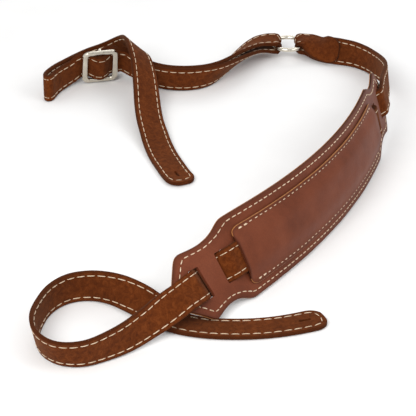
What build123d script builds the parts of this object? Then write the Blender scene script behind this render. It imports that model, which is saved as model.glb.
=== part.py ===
from build123d import *
from math import cos, sin, tan, pi, radians, sqrt
import os

os.makedirs("parts", exist_ok=True)

# Driving dimensions, in millimetres
STRAP_W = 25.4
PLY = 1.6
PLY_GAP = 0.1
STITCH_INSET = 3.5
THREAD_W = 0.7
TIP_R = 11.0
SLIT_L = 10.0
SLIT_W = 2.4
RING_R = 14.7
WIRE_R = 2.0
RING_AT = (76.9, 305.0, 11.6)
WRAP_IN = 2.6
BUCKLE_AT = (-100.5, 239.5, 18.2)
BUCKLE_W = 34.0
BUCKLE_H = 36.0
OPEN_W = 23.0
OPEN_H = 27.4
BUCKLE_T = 3.4
BUCKLE_LEAN = 15.0
BUCKLE_HEADING = 14.0
BAR_R = 1.5
BAR_BACK = 4.0
PAD_CX = -476.9
PAD_CY = 255.4
PAD_R = 648.2
PAD_H = 67.8
PAD_MID = -5.0
PAD_SLOT_A = 169.5
PAD_SLOT_B = 141.5
SLOT_W = 9.6
SLOT_H = 27.6
PANEL_END = 126.0
BASE_OUT = 1.5
BASE_IN = -0.5
LINING_T = 1.0
FOAM_T = 4.5
PANEL_T = 2.0
PANEL_DROP = 2.4

HALF_W = STRAP_W / 2
HALF_T = PLY + PLY_GAP / 2
HALF_H = PAD_H / 2
WRAP_MID = WRAP_IN + HALF_T
UP = Vector(0, 0, 1)
MIDDLE = (7.57, 37.46, -0.28)


# ---- routes -------------------------------------------------------------
# rows are x, y, z of the strap's centre and its lean in degrees from upright

FRONT_TAIL = [
    (87.5, -173.5, 1.66, -90), (76, -178.4, 1.66, -90), (62, -183.4, 1.66, -90), (48, -187, 1.66, -90),
    (34, -189, 1.66, -90), (15, -189.5, 1.66, -90), (-4, -187.3, 1.66, -90), (-21, -182, 2.4, -87), (-38, -171, 6.1, -70),
    (-55, -160, 10.8, -42), (-72, -150.5, 12.9, -16), (-90, -145.5, 12.8, -3), (-106, -149.5, 12.7, 0),
    (-118.5, -163, 12.7, 0), (-126, -185, 12.8, -3), (-128, -207, 12.9, -9), (-121.5, -228, 12.9, -16),
    (-108, -240, 12.9, -19), (-91, -240.5, 12.9, -14), (-73, -230, 13.0, -4), (-57, -217, 14.0, 8),
    (-42, -203.5, 17.5, 20),
]

FRONT_CURVE = [
    (158.5, 168, 31.0, 13), (162, 190, 27.5, 9), (163.5, 212, 22.5, 5), (161.5, 233, 17.8, 2),
    (156.5, 252, 14.2, 0), (148.5, 268, 12.9, 0), (138, 278, 12.8, -4), (126, 284, 12.6, -14),
    (115, 290.5, 11.4, -35), (106, 297.5, 9.2, -64), (100, 302.5, 7.7, -84),
    (95.5, 304.7, 7.35, -90),
]

FAR_LAYER = [
    (-62, 245.8, 13.2, -15), (-50, 236.8, 12.7, -15), (-37, 229.8, 12.7, -15), (-20, 227.9, 12.7, -16),
    (-2, 233.0, 12.7, -20), (9.5, 244.5, 12.9, -30), (20, 262, 13.3, -42), (31, 280, 13.8, -55),
    (43, 295, 14.9, -72), (52, 302, 15.7, -86), (58.5, 304.6, 15.85, -90),
]

NEAR_LAYER = [
    (58.5, 304.6, 7.35, 90), (51.5, 300.5, 7.8, 84), (42, 289.5, 9.0, 68), (31, 270.5, 10.2, 50), (20, 252, 11.4, 38),
    (9, 236, 12.4, 28), (-3, 227.2, 12.7, 20), (-20.5, 222.6, 12.7, 16), (-38.5, 224.8, 12.7, 15),
    (-52, 232.2, 12.7, 15), (-64, 241.4, 13.4, 15),
]

LOOP_TAIL = [
    (-126, 235.5, 14.6, 9), (-133, 227.5, 13.4, 6), (-138.5, 219, 12.8, 3), (-141.8, 211, 12.7, 0),
    (-143.6, 205.2, 12.7, 0), (-146.4, 203, 12.7, 0), (-149.1, 205.4, 12.7, 0), (-148.9, 211.5, 12.7, 0),
    (-146, 219, 12.7, 0), (-141, 228, 12.7, 0), (-133, 239, 12.7, 0), (-123, 251.5, 12.9, 0),
    (-111.5, 263.5, 13.2, 0), (-99.5, 270.5, 14.4, 0), (-87.5, 271, 19, -6), (-77.5, 264, 26.6, -20),
    (-71, 253, 33.2, -36), (-66.4, 240, 37, -48), (-62.8, 226.5, 36.2, -55), (-59.6, 212, 31.6, -58),
    (-57.4, 197, 25.5, -61), (-55.6, 180, 19, -65), (-54, 163, 13.2, -70), (-51.6, 146, 8.7, -75),
    (-48, 129, 5.2, -81), (-44, 110, 2.8, -86), (-38.7, 90, 1.66, -90), (-32, 69.5, 1.66, -90),
    (-26.3, 54, 1.66, -90), (-19.5, 40, 2.2, -88),
]


def smooth(a, b, x):
    """Smooth step from 0 at a to 1 at b."""
    u = min(1.0, max(0.0, (x - a) / (b - a)))
    return u * u * (3 - 2 * u)


# ---- the pad's shape ----------------------------------------------------

def pad_frame(s):
    """Plan direction, lean, droop and lift of the pad at s along its length."""
    span = PAD_R * radians(16.14)
    t = s / span
    end = max(0.0, (-t - 0.5) / 0.5) ** 2
    turn = radians(-26.12) + s / PAD_R
    lean = radians(14.39) - radians(9.31) * t + radians(11.83) * t * t + 0.264 * end
    return turn, lean, end


def pad_point(s, h, n):
    """Point at s along, h up and n out from the pad's middle surface."""
    turn, lean, end = pad_frame(s)
    hh = h - 12.4 * end
    rho = PAD_R - hh * sin(lean) - 1.6 * end + n * cos(lean)
    z = hh * cos(lean) + 8.2 * end + n * sin(lean)
    return Vector(PAD_CX + rho * cos(turn), PAD_CY + rho * sin(turn), z + 0.9)


def pad_up(s):
    """Direction up the pad's slant."""
    turn, lean, end = pad_frame(s)
    return Vector(-sin(lean) * cos(turn), -sin(lean) * sin(turn), cos(lean))


def pad_out(s):
    """Direction out of the pad's outer face."""
    turn, lean, end = pad_frame(s)
    return Vector(cos(lean) * cos(turn), cos(lean) * sin(turn), sin(lean))


# half width of the pad against the distance from its middle
OUTLINE = [
    (0, 33.9), (60, 33.9), (110, 33.9), (126, 33.8), (129.5, 33.3), (134, 31.0), (139, 28.2),
    (145, 26.3), (152.5, 25.5), (160, 26.1), (167, 27.4), (172, 28.7), (175, 28.6), (178, 26.6),
    (183, 21.5), (189, 15.8), (194, 11.0), (197.5, 7.0), (199, 4.0),
]


def ends_and_middle(rows):
    """Rows for both halves of the pad, left end first."""
    left = [(PAD_MID - a, w) for a, w in reversed(rows) if a > 0]
    right = [(PAD_MID + a, w) for a, w in rows]
    return left + right


def stretch(rows, step):
    """Extra rows so no two are more than a step apart."""
    out = [rows[0]]
    for a, b in zip(rows[:-1], rows[1:]):
        count = max(1, int(abs(b[0] - a[0]) / step + 0.99))
        for k in range(1, count + 1):
            f = k / count
            out.append((a[0] + (b[0] - a[0]) * f, a[1] + (b[1] - a[1]) * f))
    return out


def cap(outline):
    """End face of a skin."""
    if len(outline) == 4:
        a, b, c, d = outline
        return Face.make_bezier_surface([[a, b], [d, c]])
    return Face(Wire.make_polygon(outline, close=True))


def patch(a, b, c, d):
    """Level face where the four corners lie level, else a ruled one."""
    levels = (a.Z, b.Z, c.Z, d.Z)
    if max(levels) - min(levels) < 1e-6:
        return Face(Wire.make_polygon([a, b, c, d], close=True))
    return Face.make_bezier_surface([[a, b], [d, c]])


def skin(outlines):
    """Solid bounded by flat-ruled faces through a row of closed outlines."""
    faces = [cap(outlines[0])]
    count = len(outlines[0])
    for a, b in zip(outlines[:-1], outlines[1:]):
        for i in range(count):
            j = (i + 1) % count
            faces.append(patch(a[i], a[j], b[j], b[i]))
    faces.append(cap(outlines[-1]))
    body = Solid(Shell(faces))
    body = body.fix()
    if body.volume < 0:
        body = Solid(-body.shell())
    return body


def slot_cutter(s):
    """Block through the pad for one strap slot."""
    at = pad_point(s, HALF_H, 0)
    plane = Plane(origin=at, x_dir=pad_up(s), z_dir=pad_out(s))
    return plane.location * Box(SLOT_H, SLOT_W, 12)


def slot_cutters():
    """The four strap slots."""
    places = (PAD_SLOT_A, PAD_SLOT_B, -PAD_SLOT_B, -PAD_SLOT_A)
    return [slot_cutter(PAD_MID + a) for a in places]


def pad_base():
    """Bracket-ended leather base with four strap slots."""
    rows = stretch(ends_and_middle(OUTLINE), 14)
    outlines = []
    for s, w in rows:
        low = HALF_H - w
        high = HALF_H + w
        outlines.append([
            pad_point(s, low, BASE_IN), pad_point(s, high, BASE_IN),
            pad_point(s, high, BASE_OUT), pad_point(s, low, BASE_OUT),
        ])
    body = skin(outlines)
    for cutter in slot_cutters():
        body = body - cutter
    return body


def foam_depth(s):
    """Thickness of the padding at s."""
    return FOAM_T * (1 - smooth(108, 124, abs(s - PAD_MID)))


def pad_lining():
    """Soft leather lining that bellies out over the padding."""
    rows = stretch(ends_and_middle(OUTLINE), 9)
    outlines = []
    for s, w in rows:
        d = foam_depth(s)
        top = BASE_IN - 0.1
        across = (-w, -min(26.0, w * 0.9), -min(20.5, w * 0.75))
        depth = (0, 0, d)
        upper = [(a, top - b) for a, b in zip(across, depth)]
        upper += [(-a, top - b) for a, b in reversed(list(zip(across, depth)))]
        ring = [pad_point(s, HALF_H + a, n) for a, n in upper]
        ring += [pad_point(s, HALF_H + a, n - LINING_T) for a, n in reversed(upper)]
        outlines.append(ring)
    body = skin(outlines)
    for cutter in slot_cutters():
        body = body - cutter
    return body


def pad_foam():
    """Padding sheet between the base and the lining."""
    outlines = []
    for k in range(29):
        s = PAD_MID - 119 + 238 * k / 28
        d = foam_depth(s)
        top = BASE_IN - 0.2
        deep = BASE_IN - d
        wide = 24.6
        if d < FOAM_T:
            wide = 20.3 + 4.3 * d / FOAM_T
        outlines.append([
            pad_point(s, HALF_H - wide, top), pad_point(s, HALF_H - 20.3, deep),
            pad_point(s, HALF_H + 20.3, deep), pad_point(s, HALF_H + wide, top),
        ])
    return skin(outlines)


PANEL_OUTLINE = [
    (0, 23.0), (100, 23.0), (118.5, 23.0), (121.5, 22.5), (124, 21.1), (125.5, 19.0), (PANEL_END, 17.0),
]


def pad_panel():
    """Outer panel, raised over the strap to form a tunnel."""
    rows = stretch(ends_and_middle(PANEL_OUTLINE), 12)
    outlines = []
    for s, w in rows:
        low = BASE_OUT + 0.1
        high = BASE_OUT + 0.2 + 2 * HALF_T + 0.35
        mid = min(18.0, w - 1.5)
        top = min(13.7, w - 2.5)
        under = [(-w - PANEL_DROP, low), (-mid - PANEL_DROP, low + 0.05), (-top, high)]
        under += [(top, high), (mid, low + 0.05), (w, low)]
        ring = [pad_point(s, HALF_H + a, n) for a, n in under]
        ring += [pad_point(s, HALF_H + a, n + PANEL_T) for a, n in reversed(under)]
        outlines.append(ring)
    return skin(outlines)


# ---- the straps ---------------------------------------------------------

def spline_rows(rows, per):
    """Smooth curve through hand-set rows."""
    count = len(rows)
    steps = []
    for a, b in zip(rows[:-1], rows[1:]):
        steps.append(max(0.001, sqrt(sqrt(sum((q - p) ** 2 for p, q in zip(a[:3], b[:3]))))))
    slopes = []
    for i in range(count):
        if i == 0:
            slopes.append([(q - p) / steps[0] for p, q in zip(rows[0], rows[1])])
        elif i == count - 1:
            slopes.append([(q - p) / steps[-1] for p, q in zip(rows[-2], rows[-1])])
        else:
            h0 = steps[i - 1]
            h1 = steps[i]
            back = [(q - p) / h0 for p, q in zip(rows[i - 1], rows[i])]
            fore = [(q - p) / h1 for p, q in zip(rows[i], rows[i + 1])]
            slopes.append([(a * h1 + b * h0) / (h0 + h1) for a, b in zip(back, fore)])
    out = []
    for i in range(count - 1):
        h = steps[i]
        for k in range(per):
            u = k / per
            a = 2 * u ** 3 - 3 * u * u + 1
            b = (u ** 3 - 2 * u * u + u) * h
            c = 3 * u * u - 2 * u ** 3
            d = (u ** 3 - u * u) * h
            parts = zip(rows[i], slopes[i], rows[i + 1], slopes[i + 1])
            out.append([a * p + b * m + c * q + d * w for p, m, q, w in parts])
    out.append(list(rows[-1]))
    return out


def lean_to_vector(row, before, after):
    """Width direction from a lean about the direction of travel."""
    way = Vector(*after[:3]) - Vector(*before[:3])
    way = way.normalized()
    left = UP.cross(way).normalized()
    up = way.cross(left).normalized()
    a = radians(row[3])
    return up * cos(a) + left * sin(a)


def leaned(rows):
    """Rows of centre and width direction from x, y, z, lean."""
    out = []
    last = len(rows) - 1
    for i, row in enumerate(rows):
        wide = lean_to_vector(row, rows[max(0, i - 1)], rows[min(last, i + 1)])
        out.append((Vector(*row[:3]), wide))
    return out


def blend(rows, per):
    """Smooth curve through rows of centre and width direction."""
    flat = [(c.X, c.Y, c.Z, w.X, w.Y, w.Z) for c, w in rows]
    return [(Vector(*r[:3]), Vector(*r[3:]).normalized()) for r in spline_rows(flat, per)]


def stations(rows):
    """Centre, width direction and normal at every row."""
    out = []
    last = len(rows) - 1
    for i, (centre, wide) in enumerate(rows):
        way = (rows[min(last, i + 1)][0] - rows[max(0, i - 1)][0]).normalized()
        wide = (wide - way * wide.dot(way)).normalized()
        out.append((centre, wide, wide.cross(way).normalized()))
    return out


def band(run, n0, n1, tip):
    """Flat band along a run of stations, between two depths."""
    outlines = []
    for (mid, wide, out), w in zip(run, tip_widths(run, tip)):
        outlines.append([
            mid - wide * w + out * n0, mid + wide * w + out * n0,
            mid + wide * w + out * n1, mid - wide * w + out * n1,
        ])
    return skin(outlines)


def tip_widths(run, tip):
    """Half widths that round off one end of a run."""
    order = list(range(len(run)))
    if tip == "end":
        order.reverse()
    widths = [HALF_W] * len(run)
    gone = 0.0
    before = None
    for i in order:
        if before is not None:
            gone += (run[i][0] - run[before][0]).length
        before = i
        if gone < TIP_R:
            dip = TIP_R - sqrt(max(0.0, TIP_R ** 2 - (TIP_R - gone) ** 2))
            widths[i] = HALF_W - 0.82 * dip
    return widths


def refine_tip(rows, at_start):
    """More rows in the last few millimetres before a tip."""
    a = rows[0] if at_start else rows[-1]
    b = rows[1] if at_start else rows[-2]
    extra = []
    span = (b[0] - a[0]).length
    for d in (0.4, 1.3, 2.8, 5.0, 8.0):
        if d < span - 0.3:
            f = d / span
            extra.append((a[0] + (b[0] - a[0]) * f, a[1] + (b[1] - a[1]) * f))
    if at_start:
        return [rows[0]] + extra + rows[1:]
    return rows[:-1] + list(reversed(extra)) + [rows[-1]]


def slit_cutter(run, gone):
    """Button slit across both plies, a set distance from a tip."""
    travelled = 0.0
    place = run[0]
    for a, b in zip(run[:-1], run[1:]):
        travelled += (b[0] - a[0]).length
        place = b
        if travelled >= gone:
            break
    centre, wide, out = place
    plane = Plane(origin=centre, x_dir=out.cross(wide), z_dir=out)
    block = Box(SLIT_L - SLIT_W, SLIT_W, 9)
    ends = Pos((SLIT_L - SLIT_W) / 2, 0, 0) * Cylinder(SLIT_W / 2, 9)
    ends += Pos(-(SLIT_L - SLIT_W) / 2, 0, 0) * Cylinder(SLIT_W / 2, 9)
    return plane.location * (block + ends)


def ring_station(side, angle, v, r):
    """Point on the wrap round the ring, on its right or left side."""
    across = v / RING_R
    a = radians(angle)
    reach = RING_R - r * cos(a)
    x = RING_AT[0] + side * reach * cos(across)
    y = RING_AT[1] + side * reach * sin(across)
    return Vector(x, y, RING_AT[2] + r * sin(a))


ACROSS = (-1.0, -0.5, 0.0, 0.5, 1.0)


def wrap_outline(side, angle, n0, n1, sense):
    """Closed outline of one ply where it bears on the ring."""
    r0 = WRAP_MID + sense * n0
    r1 = WRAP_MID + sense * n1
    low = [ring_station(side, angle, HALF_W * f, r0) for f in ACROSS]
    high = [ring_station(side, angle, HALF_W * f, r1) for f in ACROSS]
    return low + list(reversed(high))


def flat_outline(station, n0, n1, bow):
    """Closed outline of one ply of flat band, its edges bowed to the ring."""
    centre, wide, out = station
    low = []
    high = []
    for f in ACROSS:
        at = centre + wide * (HALF_W * f) + bow * (f * f)
        low.append(at + out * n0)
        high.append(at + out * n1)
    return low + list(reversed(high))


def ring_end(side, lead, trail, n0, n1, sense, angles):
    """Piece of one ply that folds round the ring, with a little of each leg."""
    outlines = []
    count = len(lead)
    for i, station in enumerate(lead):
        f = (i / count) ** 2
        outlines.append(flat_outline(station, n0, n1, Vector(-side * 5.0 * f, 0, 0)))
    for angle in angles:
        outlines.append(wrap_outline(side, angle, n0, n1, sense))
    count = len(trail)
    for i, station in enumerate(trail):
        f = ((count - 1 - i) / count) ** 2
        outlines.append(flat_outline(station, n0, n1, Vector(-side * 5.0 * f, 0, 0)))
    return skin(outlines)


def front_main():
    """Front strap from its tip, through the pad, to the ring's lower leg."""
    tail = leaned(spline_rows(FRONT_TAIL, 3))
    a = PAD_SLOT_A
    b = PAD_SLOT_B
    face = 3.45
    rise = 4.2
    back = -4.5
    plan = [
        (-a - 24, rise + 0.6), (-a - 12, rise + 0.3), (-a - 5.2, rise), (-a + 5.2, back), (-a + 10, back),
        (-b - 10, back), (-b - 5.2, back), (-b + 5.2, rise), (-b + 10, face),
    ]
    mirror = [(-s, n) for s, n in reversed(plan)]
    level = [(s, face) for s in (-110, -80, -50, -20, 10, 40, 70, 100)]
    on_pad = []
    for s, n in plan + level + mirror:
        on_pad.append((pad_point(PAD_MID + s, HALF_H, n), pad_up(PAD_MID + s)))
    curve = leaned(spline_rows(FRONT_CURVE, 3))
    join_a = blend([tail[-1], on_pad[0]], 3)[1:-1]
    join_b = blend([on_pad[-1], curve[0]], 3)[1:-1]
    rows = tail + join_a + blend(on_pad, 2) + join_b + curve
    return refine_tip(rows, True)


def front_flap(curve):
    """Sewn-back end of the front strap, on the ring side of its main run."""
    rows = []
    gone = 0.0
    before = None
    for centre, wide, out in reversed(curve):
        if before is not None:
            gone += (centre - before).length
        before = centre
        gap = 2 * HALF_T + 0.3 + 4.7 * (1 - smooth(0, 17, gone))
        rows.append((centre + out * gap, wide))
        if gone > 36:
            break
    return refine_tip(rows, False)


def buckle_axes():
    """The buckle's own directions: right, up and out."""
    a = radians(BUCKLE_HEADING)
    b = radians(BUCKLE_LEAN)
    right = Vector(cos(a), sin(a), 0)
    front = Vector(sin(a), -cos(a), 0)
    up = UP * cos(b) + front * sin(b)
    out = front * cos(b) - UP * sin(b)
    return right, up, out


def buckle_point(x, z, n):
    """Point in the buckle's own directions."""
    right, up, out = buckle_axes()
    return Vector(*BUCKLE_AT) + right * x + up * z + out * n


def weave_depth(x):
    """Depth of the threaded layer: behind the side bars, over the centre bar."""
    return -5.1 + 8.3 * (1 - smooth(0.8, 12.3, abs(x)))


def weave_row(x, n):
    """Row of the strap in the buckle at x across it and n out of its face."""
    return (buckle_point(x, -0.4, n), buckle_axes()[1])


SEWN_END = [
    (22, -12.6), (18, -12.8), (13.5, -13.1), (10, -13.1), (7.5, -12.4), (5, -10.6), (2.5, -8.6), (0, -7.5),
]

SEWN_FRONT = [
    (0, -0.45), (2.4, -1.5), (4.6, -4.0), (6.8, -6.7), (9, -8.5), (11.5, -9.3), (14.5, -9.2),
    (18, -9.0), (23, -8.8),
]


def bar_wrap():
    """Rows round the centre bar, from its back to its front."""
    rows = []
    mid = BAR_R + 0.35 + HALF_T
    for k in range(1, 8):
        a = radians(-90 - 22.5 * k)
        rows.append((buckle_point(mid * cos(a), -0.4, -BAR_BACK + mid * sin(a)), buckle_axes()[1]))
    return rows


def adjuster_first():
    """Adjuster strap from its sewn end, round the bar, to the ring's upper leg."""
    flap = [weave_row(x, n) for x, n in SEWN_END]
    front = [weave_row(x, n) for x, n in SEWN_FRONT]
    rows = flap + bar_wrap() + front
    far = leaned(spline_rows(FAR_LAYER, 2))
    rows += blend([front[-1], far[0]], 2)[1:-1]
    return refine_tip(rows + far, True)


def adjuster_second():
    """Adjuster strap from the ring's lower leg, through the buckle, to its tip."""
    near = leaned(spline_rows(NEAR_LAYER, 2))
    places = (22, 18, 14, 11, 8.8, 6.6, 4.4, 2.2, 0, -2.2, -4.4, -6.6, -8.8, -11, -14, -17.5)
    weave = [weave_row(x, weave_depth(x)) for x in places]
    tail = leaned(spline_rows(LOOP_TAIL, 3))
    rows = near + blend([near[-1], weave[0]], 2)[1:-1] + weave
    rows += blend([weave[-1], tail[0]], 2)[1:-1] + tail
    return refine_tip(rows, False)


PLIES = {"inner": (PLY_GAP / 2, HALF_T), "outer": (-HALF_T, -PLY_GAP / 2)}


def front_ply(n0, n1):
    """One ply of the front strap."""
    run = stations(front_main())
    curve = run[-30:]
    flap = stations(front_flap(curve))
    k = 5
    body = band(run[:-k + 1], n0, n1, tip="start")
    body = body.fuse(ring_end(1, run[-k:], flap[:k], n0, n1, -1, (-90, -67.5, -45, -22.5, 0, 22.5, 45, 67.5, 90)))
    body = body.fuse(band(flap[k - 1:], n0, n1, tip="end"))
    return body - slit_cutter(run, 16.0)


def adjuster_ply(n0, n1):
    """One ply of the adjuster strap."""
    first = stations(adjuster_first())
    second = stations(adjuster_second())
    k = 5
    body = band(first[:-k + 1], n0, n1, tip="start")
    body = body.fuse(ring_end(-1, first[-k:], second[:k], n0, n1, 1, (90, 67.5, 45, 22.5, 0, -22.5, -45, -67.5, -90)))
    body = body.fuse(band(second[k - 1:], n0, n1, tip="end"))
    return body - slit_cutter(list(reversed(second)), 16.0)


def strap_thread(run, shift, start, stop):
    """One seam through both plies, pressed flush where the strap lies flat."""
    outlines = []
    for centre, wide, out in run[start:stop]:
        mid = centre + wide * shift
        side = wide * (THREAD_W / 2)
        low = out * (-HALF_T + (0.05 if out.Z > 0.9995 else -0.15))
        high = out * (HALF_T + 0.15)
        outlines.append([mid - side + low, mid + side + low, mid + side + high, mid - side + high])
    return skin(outlines)


# ---- threads in the pad -------------------------------------------------

def seam(points, n0, n1):
    """Thread along points (s, h) on the pad, from depth n0 to n1."""
    outlines = []
    last = len(points) - 1
    for i, (s, h) in enumerate(points):
        a = points[max(0, i - 1)]
        b = points[min(last, i + 1)]
        ds = b[0] - a[0]
        dh = b[1] - a[1]
        size = sqrt(ds * ds + dh * dh)
        os_ = -dh / size * THREAD_W / 2
        oh = ds / size * THREAD_W / 2
        outlines.append([
            pad_point(s - os_, h - oh, n0), pad_point(s + os_, h + oh, n0),
            pad_point(s + os_, h + oh, n1), pad_point(s - os_, h - oh, n1),
        ])
    return skin(outlines)


def pad_edge_thread(side):
    """Seam along the upper (1) or lower (-1) half of the pad's outline."""
    inset = [
        (0, 29.6), (60, 29.6), (110, 29.6), (124, 29.5), (127.5, 28.7), (131.5, 26.6), (137, 24.0),
        (145, 21.9), (152.5, 21.2), (160, 21.7), (167, 22.9), (171.5, 23.6), (174.5, 22.0),
        (179, 17.3), (185, 11.8), (190, 7.4), (193.5, 3.6),
    ]
    rows = stretch(ends_and_middle(inset), 12)
    points = [(s, HALF_H + side * w) for s, w in rows]
    return seam(points, BASE_IN - 0.1 - LINING_T - 0.15, BASE_OUT + 0.15)


def panel_thread(h):
    """Seam along one long edge of the panel."""
    rows = [(PAD_MID - 119 + 238 * k / 24, HALF_H + h) for k in range(25)]
    return seam(rows, BASE_IN - 0.05, BASE_OUT + 0.15 + PANEL_T + 0.2)


# ---- metalware ----------------------------------------------------------

def ring():
    """Round wire ring."""
    return Pos(*RING_AT) * Torus(RING_R, WIRE_R)


def buckle_plane():
    """Plane of the buckle, its X to the right and its Z out of its face."""
    right, up, out = buckle_axes()
    return Plane(origin=Vector(*BUCKLE_AT), x_dir=right, z_dir=out)


def buckle_frame():
    """Cast rectangular frame with broad side bars."""
    with BuildPart() as part:
        with BuildSketch():
            RectangleRounded(BUCKLE_W, BUCKLE_H, 6.5)
            RectangleRounded(OPEN_W, OPEN_H, 2.6, mode=Mode.SUBTRACT)
        extrude(amount=BUCKLE_T / 2, both=True)
        fillet(part.faces().filter_by(Axis.Z).edges(), 1.1)
    return buckle_plane().location * part.part


def centre_bar():
    """Round bar set behind the frame, with a foot at each end."""
    top = (OPEN_H + BUCKLE_H) / 4
    rod = Pos(0, 0, -BAR_BACK) * Rot(90, 0, 0) * Cylinder(BAR_R, 2 * top)
    feet = Pos(0, top, -BAR_BACK / 2 - 1.0) * Cylinder(BAR_R, BAR_BACK - 1.2)
    feet += Pos(0, -top, -BAR_BACK / 2 - 1.0) * Cylinder(BAR_R, BAR_BACK - 1.2)
    ends = Pos(0, top, -BAR_BACK) * Sphere(BAR_R) + Pos(0, -top, -BAR_BACK) * Sphere(BAR_R)
    return buckle_plane().location * (rod + feet + ends)


def save(name, shape):
    """Write one node, with the origin below the middle of the whole."""
    shape = Pos(-MIDDLE[0], -MIDDLE[1], -MIDDLE[2]) * shape
    shape.label = name
    export_step(shape, "parts/" + name + ".step")


def main():
    """Build and write every node."""
    front_run = stations(front_main())
    first = stations(adjuster_first())
    second = stations(adjuster_second())
    edge = HALF_W - STITCH_INSET
    save("pad_base", pad_base())
    save("pad_lining", pad_lining())
    save("pad_foam", pad_foam())
    save("pad_panel", pad_panel())
    save("pad_upper_edge_thread", pad_edge_thread(1))
    save("pad_lower_edge_thread", pad_edge_thread(-1))
    save("panel_upper_thread", panel_thread(20.4))
    save("panel_lower_thread", panel_thread(-20.4 - PANEL_DROP))
    save("front_strap_face", front_ply(*PLIES["outer"]))
    save("front_strap_backing", front_ply(*PLIES["inner"]))
    save("front_strap_upper_thread", strap_thread(front_run, edge, 8, -5))
    save("front_strap_lower_thread", strap_thread(front_run, -edge, 8, -5))
    save("adjuster_strap_face", adjuster_ply(*PLIES["inner"]))
    save("adjuster_strap_backing", adjuster_ply(*PLIES["outer"]))
    save("adjuster_upper_thread", strap_thread(second, edge, 5, -8))
    save("adjuster_lower_thread", strap_thread(second, -edge, 5, -8))
    save("ring", ring())
    save("buckle_frame", buckle_frame())
    save("buckle_centre_bar", centre_bar())


main()
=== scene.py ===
import math
import random

import bmesh
import bpy
import numpy as np
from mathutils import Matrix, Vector


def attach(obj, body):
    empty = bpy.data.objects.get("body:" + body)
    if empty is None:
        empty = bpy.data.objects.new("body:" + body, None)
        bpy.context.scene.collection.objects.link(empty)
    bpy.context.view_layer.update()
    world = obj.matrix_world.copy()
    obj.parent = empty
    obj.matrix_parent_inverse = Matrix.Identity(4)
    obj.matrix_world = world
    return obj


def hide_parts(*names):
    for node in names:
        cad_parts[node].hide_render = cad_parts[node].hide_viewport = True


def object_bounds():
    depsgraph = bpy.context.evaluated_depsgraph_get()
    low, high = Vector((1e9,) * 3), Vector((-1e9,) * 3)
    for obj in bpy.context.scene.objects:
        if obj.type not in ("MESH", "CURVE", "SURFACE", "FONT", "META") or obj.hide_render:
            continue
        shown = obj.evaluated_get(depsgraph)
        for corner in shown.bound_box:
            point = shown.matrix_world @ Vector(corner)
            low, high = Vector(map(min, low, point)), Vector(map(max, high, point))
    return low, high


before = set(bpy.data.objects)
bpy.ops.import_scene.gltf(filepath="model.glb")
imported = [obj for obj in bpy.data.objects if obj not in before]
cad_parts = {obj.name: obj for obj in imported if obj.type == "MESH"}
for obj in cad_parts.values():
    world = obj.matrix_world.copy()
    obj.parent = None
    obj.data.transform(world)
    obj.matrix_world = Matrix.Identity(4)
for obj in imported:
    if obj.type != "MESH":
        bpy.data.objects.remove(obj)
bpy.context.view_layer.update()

# ---- sizes, in millimetres, as the CAD has them --------------------------

# the frame's origin, in the routes' coordinates
MIDDLE = Vector((7.57, 37.46, -0.28))

# straps: two plies of suede, tips cut to a rounded point, a slit in each
HALF_W = 12.7
PLY = 1.6
PLY_GAP = 0.1
HALF_T = PLY + PLY_GAP / 2
TIP_R = 11.0
TIP_SHARE = 0.82
SEAM_W = 9.2
SLIT_AT = 16.0
SLIT_L = 10.0
SLIT_W = 2.4

# ring and buckle
RING_R = 14.7
WIRE_R = 2.0
RING_AT = (76.9, 305.0, 11.6)
WRAP_MID = 2.6 + HALF_T
BUCKLE_AT = Vector((-100.5, 239.5, 18.2))
BUCKLE_W = 34.0
BUCKLE_H = 36.0
OPEN_W = 23.0
OPEN_H = 27.4
BUCKLE_T = 3.4
BUCKLE_LEAN = math.radians(15)
BUCKLE_HEADING = math.radians(14)
BAR_R = 1.5
BAR_BACK = 4.0

# pad: bent along an arc, leaning by a changing angle, its near end drooping
PAD_CX = -476.9
PAD_CY = 255.4
PAD_R = 648.2
HALF_H = 33.9
PAD_MID = -5.0
PAD_SPAN = math.radians(16.14)
PAD_HEADING = math.radians(-26.12)
PAD_LEANS = (math.radians(14.39), math.radians(-9.31), math.radians(11.83))
PAD_LIFT = 0.9
END_LEAN, END_DROP, END_IN, END_LIFT = 0.264, 12.4, 1.6, 8.2
SLOTS = (169.5, 141.5, -141.5, -169.5)
SLOT_W = 9.6
SNUG_H = 25.7
PANEL_DROP = 2.4
PANEL_SEAMS = (20.4, -22.8)
PAD_END = 199
PANEL_END = 126

# depths out from the pad's middle surface, of its layers and of the straps
BASE_LOW, BASE_HIGH = -0.5, 1.5
LINING_LOW, LINING_HIGH = -1.5, -0.6
PANEL_LOW, PANEL_HIGH = 1.6, 3.6
PANEL_CROWN = 3.75
STRAP_LEVEL, STRAP_RISE, STRAP_BACK = 3.45, 4.2, -4.5
RING_BOW = 5.0

UP = Vector((0, 0, 1))

FRONT_TAIL = [
    (87.5, -173.5, 1.66, -90), (76, -178.4, 1.66, -90), (62, -183.4, 1.66, -90), (48, -187, 1.66, -90),
    (34, -189, 1.66, -90), (15, -189.5, 1.66, -90), (-4, -187.3, 1.66, -90), (-21, -182, 2.4, -87),
    (-38, -171, 6.1, -70), (-55, -160, 10.8, -42), (-72, -150.5, 12.9, -16), (-90, -145.5, 12.8, -3),
    (-106, -149.5, 12.7, 0),
    (-118.5, -163, 12.7, 0), (-126, -185, 12.8, -3), (-128, -207, 12.9, -9), (-121.5, -228, 12.9, -16),
    (-108, -240, 12.9, -19), (-91, -240.5, 12.9, -14), (-73, -230, 13.0, -4), (-57, -217, 14.0, 8),
    (-42, -203.5, 17.5, 20),
]

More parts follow.
